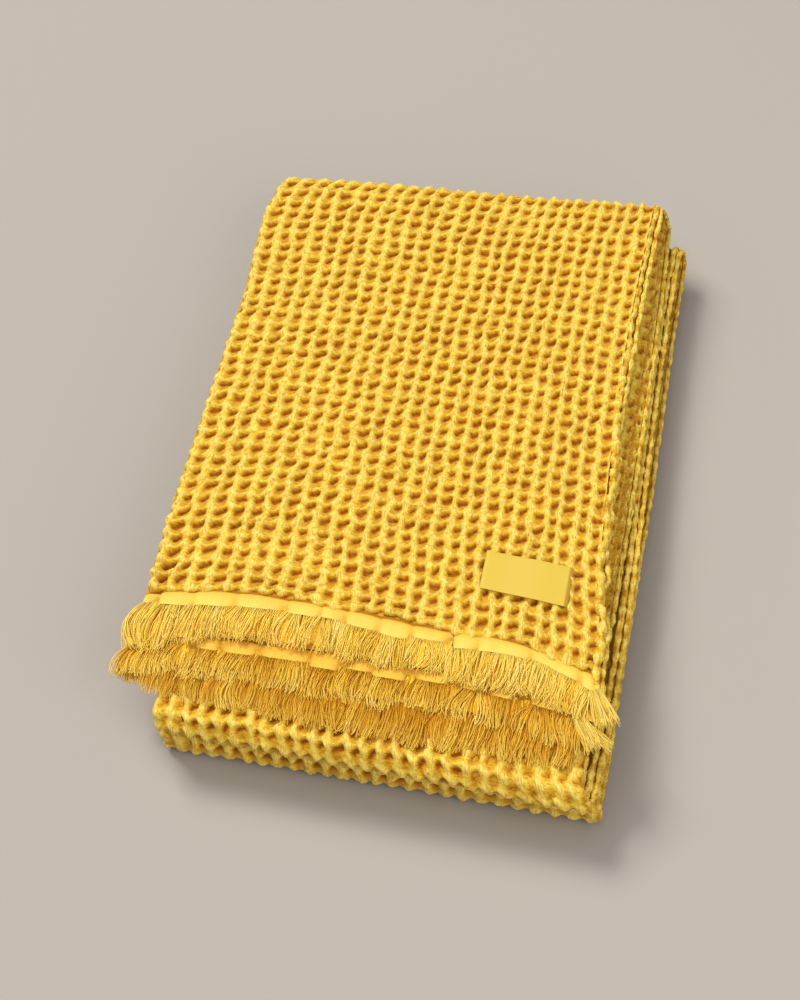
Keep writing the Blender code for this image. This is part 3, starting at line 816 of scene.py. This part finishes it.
def labelSurface():
    # a thin pillow-edged slab: a closed oval-cornered profile across the short side, carried along the
    # long side over slow waves, and bent down at its two sewn ends
    u = np.concatenate([[-0.5], np.linspace(-0.497, 0.497, 71), [0.5]])
    profile = np.linspace(0, 2 * np.pi, 48, endpoint=False)
    flat = np.sign(np.cos(profile)) * np.abs(np.cos(profile)) ** 0.25
    thick = np.sign(np.sin(profile)) * np.abs(np.sin(profile)) ** 0.6
    across = u[:, None] * label["width"]
    along = 0.5 * label["depth"] * flat[None, :] + 0 * across
    waves = np.sin(9 * u + 0.5)[:, None] * 0.6 + (along / label["depth"]) * np.sin(5 * u)[:, None]
    buckle = label["buckle"] * waves
    inEnd = np.clip((np.abs(u) - 0.5 + label["tuckedEnd"]) / label["tuckedEnd"], 0.0, 1.0)[:, None]
    sewn = -label["endDrop"] * inEnd**1.5 * np.where(u[:, None] > 0, 1.0, 0.5)
    cosTurn, sinTurn = math.cos(label["turn"]), math.sin(label["turn"])
    x = label["centre"][0] + across * cosTurn - label["skew"] * along
    y = label["centre"][1] + across * sinTurn + along
    points = unevenStack(x, y, np.full_like(x, stack["height"]), 0 * x)
    thickness = label["thickness"] * np.where(np.abs(u[:, None]) > 0.498, 0.2, 1.0)
    points[..., 2] += label["rest"] - stack["clothHalf"] + buckle + sewn + 0.5 * thickness * thick[None, :]
    quads = gridQuads(len(u), len(profile), closed=True)[:, ::-1]
    k = np.arange(1, len(profile) // 2 - 1)
    cap = np.stack([k, k + 1, len(profile) - 1 - k, len(profile) - k], axis=-1)
    last = (len(u) - 1) * len(profile)
    quads = np.concatenate([quads, cap, cap[:, ::-1] + last])
    foldedStrip = smoothStep(u[:, None], 0.455, 0.468) + 0 * along
    return points, quads, across + 0 * along, along, foldedStrip


labelPiece = joinGrids("wovenLabel", [labelSurface()])
print("selvedges and label", len(rolledEdge.data.polygons), len(labelPiece.data.polygons), "faces")

# Materials.

def linear(hexColour):
    # sRGB hex to linear numbers, with full alpha
    channels = [int(hexColour[n:n + 2], 16) / 255 for n in (1, 3, 5)]
    return tuple(c / 12.92 if c <= 0.04045 else ((c + 0.055) / 1.055) ** 2.4 for c in channels) + (1.0,)


def addNode(tree, kind, links=None, values=None, stops=(), **settings):
    # one node with its settings, fixed socket values, colour stops, and links from (node, output) pairs
    made = tree.nodes.new(kind)
    for name, value in settings.items():
        setattr(made, name, value)
    for socket, value in (values or {}).items():
        made.inputs[socket].default_value = value
    for socket, (source, output) in (links or {}).items():
        tree.links.new(source.outputs[output], made.inputs[socket])
    while len(stops) > 2 and len(made.color_ramp.elements) < len(stops):
        made.color_ramp.elements.new(0.5)
    for n, (position, colour) in enumerate(stops):
        made.color_ramp.elements[n].position = position
        made.color_ramp.elements[n].color = linear(colour)
    return made


def startMaterial(name, values):
    # a material with its shader's fixed values, its node tree and the piece's own UV map
    material = bpy.data.materials.new(name)
    material.use_nodes = True
    tree = material.node_tree
    shader = tree.nodes["Principled BSDF"]
    for socket, value in values.items():
        shader.inputs[socket].default_value = value
    return material, tree, shader, addNode(tree, "ShaderNodeUVMap", uv_map="weave")


# noise patches to a metre across and along the cloth, with their size in mm
grain = {
    "cordYarn": (950.0, 260.0, 1.0),  # 1 by 4
    "bundleYarn": (260.0, 950.0, 1.0),
    "fleck": (330.0, 330.0, 1.0),  # 3
    "blotch": (45.0, 45.0, 1.0),  # 22
    "plain": (900.0, 900.0, 1.0),  # 1
    "rub": (160.0, 60.0, 1.0),  # 6 by 17
}
fine = {"Scale": 1.0, "Detail": 2.0, "Roughness": 0.6}
stretchTo = {"From Min": 0.3, "From Max": 0.7}
cottonSheen = {"Sheen Weight": 0.35, "Sheen Roughness": 0.45, "Sheen Tint": linear("#FFE08A"),
               "Specular IOR Level": 0.1}

# waffle cotton: matt carded yarn, warm yellow on the crests and brown-gold in the pits as painted shade,
# with pale orange flecks, slight dye blotches, and threads that run along the cords and across the cloth in
# the bundles
waffleCotton, tree, shader, weave = startMaterial("waffle cotton", {"Roughness": 0.9, **cottonSheen})
crest = addNode(tree, "ShaderNodeAttribute", attribute_name="crest")
# painted shade: low numbers, in pits, on the edge wall and on the plain sheet, give darker, browner colours
base = addNode(tree, "ShaderNodeValToRGB", {"Fac": (crest, "Fac")}, stops=[
    (0.0, "#9C600A"), (0.18, "#BC801A"), (0.40, "#D8AA32"), (0.68, "#EACB4E"), (0.92, "#F6DF74")])
alongYarn = addNode(tree, "ShaderNodeMapping", {"Vector": (weave, "UV")}, {"Scale": grain["cordYarn"]})
acrossYarn = addNode(tree, "ShaderNodeMapping", {"Vector": (weave, "UV")}, {"Scale": grain["bundleYarn"]})
cordYarn = addNode(tree, "ShaderNodeTexNoise", {"Vector": (alongYarn, "Vector")}, fine)
bundleYarn = addNode(tree, "ShaderNodeTexNoise", {"Vector": (acrossYarn, "Vector")}, fine)
onCord = addNode(tree, "ShaderNodeMapRange", {"Value": (crest, "Fac")}, {"From Min": 0.6, "From Max": 0.85})
yarn = addNode(tree, "ShaderNodeMix", {
    "Factor": (onCord, "Result"), "A": (bundleYarn, "Fac"), "B": (cordYarn, "Fac")})
yarnTint = addNode(tree, "ShaderNodeValToRGB", {"Fac": (yarn, "Result")}, stops=[
    (0.32, "#DCC08C"), (0.49, "#F9F1DA"), (0.62, "#FFFFFF")])
colour = addNode(tree, "ShaderNodeVectorMath", {
    0: (base, "Color"), 1: (yarnTint, "Color")}, operation="MULTIPLY")
fleckPlace = addNode(tree, "ShaderNodeMapping", {"Vector": (weave, "UV")}, {"Scale": grain["fleck"]})
fleck = addNode(tree, "ShaderNodeTexNoise", {"Vector": (fleckPlace, "Vector")}, fine)
fleckTint = addNode(tree, "ShaderNodeValToRGB", {"Fac": (fleck, "Fac")}, stops=[
    (0.34, "#ECD2A6"), (0.50, "#FFFFFF"), (0.68, "#FFFFFF")])
colour = addNode(tree, "ShaderNodeVectorMath", {
    0: (colour, "Vector"), 1: (fleckTint, "Color")}, operation="MULTIPLY")
blotchPlace = addNode(tree, "ShaderNodeMapping", {"Vector": (weave, "UV")}, {"Scale": grain["blotch"]})
blotch = addNode(tree, "ShaderNodeTexNoise", {
    "Vector": (blotchPlace, "Vector")}, {"Scale": 1.0, "Detail": 3.0})
shade = addNode(tree, "ShaderNodeMapRange", {
    "Value": (blotch, "Fac")}, {**stretchTo, "To Min": 0.93, "To Max": 1.06})
colour = addNode(tree, "ShaderNodeVectorMath", {
    0: (colour, "Vector"), "Scale": (shade, "Result")}, operation="SCALE")
tree.links.new(colour.outputs["Vector"], shader.inputs["Base Color"])
threads = addNode(tree, "ShaderNodeBump", {
    "Height": (yarn, "Result")}, {"Strength": 1.0, "Distance": 0.8 * mm})
tree.links.new(threads.outputs["Normal"], shader.inputs["Normal"])

# plain cotton band: close flat weave, paler and smoother than the waffle, with painted shade where it tucks
# under the waffle, in its creases and on the lower layers' bands
plainCotton, tree, shader, weave = startMaterial("plain cotton band", {"Roughness": 0.8, **cottonSheen})
share = addNode(tree, "ShaderNodeAttribute", attribute_name="crest")
base = addNode(tree, "ShaderNodeValToRGB", {"Fac": (share, "Fac")}, stops=[
    (0.0, "#A56E16"), (0.04, "#D49C30"), (0.14, "#E4B643"), (0.40, "#ECC656"), (1.0, "#F1D161")])
grainPlace = addNode(tree, "ShaderNodeMapping", {"Vector": (weave, "UV")}, {"Scale": grain["plain"]})
closeWeave = addNode(tree, "ShaderNodeTexNoise", {
    "Vector": (grainPlace, "Vector")}, {"Scale": 1.0, "Detail": 1.0})
shade = addNode(tree, "ShaderNodeMapRange", {
    "Value": (closeWeave, "Fac")}, {**stretchTo, "To Min": 0.93, "To Max": 1.04})
colour = addNode(tree, "ShaderNodeVectorMath", {
    0: (base, "Color"), "Scale": (shade, "Result")}, operation="SCALE")
rubPlace = addNode(tree, "ShaderNodeMapping", {"Vector": (weave, "UV")}, {"Scale": grain["rub"]})
rub = addNode(tree, "ShaderNodeTexNoise", {"Vector": (rubPlace, "Vector")}, {"Scale": 1.0, "Detail": 2.0})
shade = addNode(tree, "ShaderNodeMapRange", {
    "Value": (rub, "Fac")}, {**stretchTo, "To Min": 0.94, "To Max": 1.04})
colour = addNode(tree, "ShaderNodeVectorMath", {
    0: (colour, "Vector"), "Scale": (shade, "Result")}, operation="SCALE")
tree.links.new(colour.outputs["Vector"], shader.inputs["Base Color"])
threads = addNode(tree, "ShaderNodeBump", {
    "Height": (closeWeave, "Fac")}, {"Strength": 0.5, "Distance": 0.25 * mm})
tree.links.new(threads.outputs["Normal"], shader.inputs["Normal"])

# cotton fringe yarn: cut unplied ends, lighter than the cloth, each strand with its own tone; light goes
# a little way through them, and painted shade darkens them at their roots
fringeYarn, tree, shader, weave = startMaterial("cotton fringe yarn", {
    "Roughness": 0.8, **cottonSheen, "Sheen Weight": 0.15,
    "Subsurface Weight": 0.4, "Subsurface Scale": 1.0 * mm, "Subsurface Radius": (0.7, 1.0, 1.0)})
parts = addNode(tree, "ShaderNodeSeparateXYZ", {"Vector": (weave, "UV")})
base = addNode(tree, "ShaderNodeValToRGB", {"Fac": (parts, "X")}, stops=[
    (0.0, "#BE7C10"), (0.2, "#DA9A1E"), (0.6, "#FCCF42"), (1.0, "#FFE478")])
# painted shade at the roots, under the band's edge
shade = addNode(tree, "ShaderNodeMapRange", {
    "Value": (parts, "Y")}, {"From Max": 0.25, "To Min": 0.80, "To Max": 1.04})
colour = addNode(tree, "ShaderNodeVectorMath", {
    0: (base, "Color"), "Scale": (shade, "Result")}, operation="SCALE")
tree.links.new(colour.outputs["Vector"], shader.inputs["Base Color"])

# satin label ribbon: smooth polyester satin, with fine ribs along its length and a soft gloss; its
# turned-under right end is darker
satin, tree, shader, weave = startMaterial("satin label ribbon", {
    "Roughness": 0.5, "Specular IOR Level": 0.3})
strip = addNode(tree, "ShaderNodeAttribute", attribute_name="crest")
base = addNode(tree, "ShaderNodeValToRGB", {"Fac": (strip, "Fac")}, stops=[
    (0.0, "#CFB034"), (0.5, "#BC9830"), (1.0, "#B08A2C")])
tree.links.new(base.outputs["Color"], shader.inputs["Base Color"])
ribs = addNode(tree, "ShaderNodeTexWave", {
    "Vector": (weave, "UV")}, {"Scale": 900.0}, bands_direction="Y")
ribBump = addNode(tree, "ShaderNodeBump", {
    "Height": (ribs, "Fac")}, {"Strength": 0.15, "Distance": 0.05 * mm})
tree.links.new(ribBump.outputs["Normal"], shader.inputs["Normal"])

wovenPieces = [waffleTop, waffleBack, frontFolds, sides, leftTurns, backFold, underSide]
for piece in wovenPieces + [blanketCloth, rolledEdge]:
    piece.data.materials.append(waffleCotton)
hemBands.data.materials.append(plainCotton)
for piece in (frontFringe, farFringe):
    piece.data.materials.append(fringeYarn)
labelPiece.data.materials.append(satin)
print("materials")

# How the pieces stand for the solids.

clothPieces = wovenPieces + [hemBands, rolledEdge]
for piece in clothPieces + [blanketCloth, frontFringe, farFringe, labelPiece]:
    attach(piece, "root")
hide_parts("waffle_blanket")
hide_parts("front_fringe")
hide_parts("far_fringe")
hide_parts("woven_label")

# Floor, camera and light.

view = {
    "place": (362.9 * mm, -905.0 * mm, 1140.9 * mm),
    "azimuth": math.radians(23.06),
    "elevation": math.radians(49.38),
    "roll": math.radians(-13.38),
    "lens": 79.2,
    "sensor": 36.0,
    "nearest": 0.05,
}


def axesMatrix(right, up, back, place):
    # a matrix with these three axes and this place as its columns
    matrix = np.eye(4)
    matrix[:3] = np.stack([right, up, back, place], axis=-1)
    return Matrix(matrix.tolist())


def setCamera():
    # the camera's back axis is turned from -y by its azimuth and elevation, and it rolls about that axis
    az, el, roll = view["azimuth"], view["elevation"], view["roll"]
    right = np.array([math.cos(az), math.sin(az), 0.0])
    back = np.array([math.sin(az) * math.cos(el), -math.cos(az) * math.cos(el), math.sin(el)])
    up = np.cross(back, right)
    turned = math.cos(roll) * right + math.sin(roll) * up
    upright = -math.sin(roll) * right + math.cos(roll) * up
    camera = bpy.data.objects.new("camera", bpy.data.cameras.new("camera"))
    scene.collection.objects.link(camera)
    camera.matrix_world = axesMatrix(turned, upright, back, view["place"])
    camera.data.lens = view["lens"]
    camera.data.sensor_width = view["sensor"]
    camera.data.clip_start = view["nearest"]
    scene.camera = camera


setCamera()

floorLook = {"colour": "#A8A29C", "roughness": 0.9, "half": 4, "z": -0.5 * mm}
floorMaterial = bpy.data.materials.new("pale floor")
floorMaterial.use_nodes = True
floorShader = floorMaterial.node_tree.nodes["Principled BSDF"]
floorShader.inputs["Base Color"].default_value = linear(floorLook["colour"])
floorShader.inputs["Roughness"].default_value = floorLook["roughness"]
corners = np.array([(-1, -1), (1, -1), (1, 1), (-1, 1)]) * floorLook["half"]
corners = np.column_stack([corners, np.full(4, floorLook["z"])])
floor = newObject("floor", corners, np.array([[0, 1, 2, 3]]))
floor.data.materials.append(floorMaterial)

# place, target, power in W, size in m and colour
lights = {
    "key": ((-3.2, 3.0, 5.7), (0.0, 0.0, 0.03), 478.0, 3.0, "#FFFBF4"),
    "fill": ((1.7, -1.5, 1.5), (0.0, 0.0, 0.03), 34.0, 2.0, "#FFFCF8"),
    "top": ((-0.2, -0.4, 2.6), (0.0, 0.0, 0.03), 18.0, 2.2, "#FFFFFF"),
}
for lightName, (place, target, power, size, colour) in lights.items():
    lamp = bpy.data.objects.new(lightName, bpy.data.lights.new(lightName, "AREA"))
    lamp.data.energy = power
    lamp.data.size = size
    lamp.data.color = linear(colour)[:3]
    away = np.array(place) - np.array(target)
    away /= np.linalg.norm(away)
    side = np.cross((0.0, 0.0, 1.0), away)
    side /= np.linalg.norm(side)
    lamp.matrix_world = axesMatrix(side, np.cross(away, side), away, place)
    scene.collection.objects.link(lamp)

surroundings = {"colour": "#F2F0EC", "strength": 0.30}
world = bpy.data.worlds.new("studio")
world.use_nodes = True
background = world.node_tree.nodes["Background"]
background.inputs["Color"].default_value = linear(surroundings["colour"])
background.inputs["Strength"].default_value = surroundings["strength"]
scene.world = world
scene.view_settings.view_transform = "Standard"
print("camera and light")
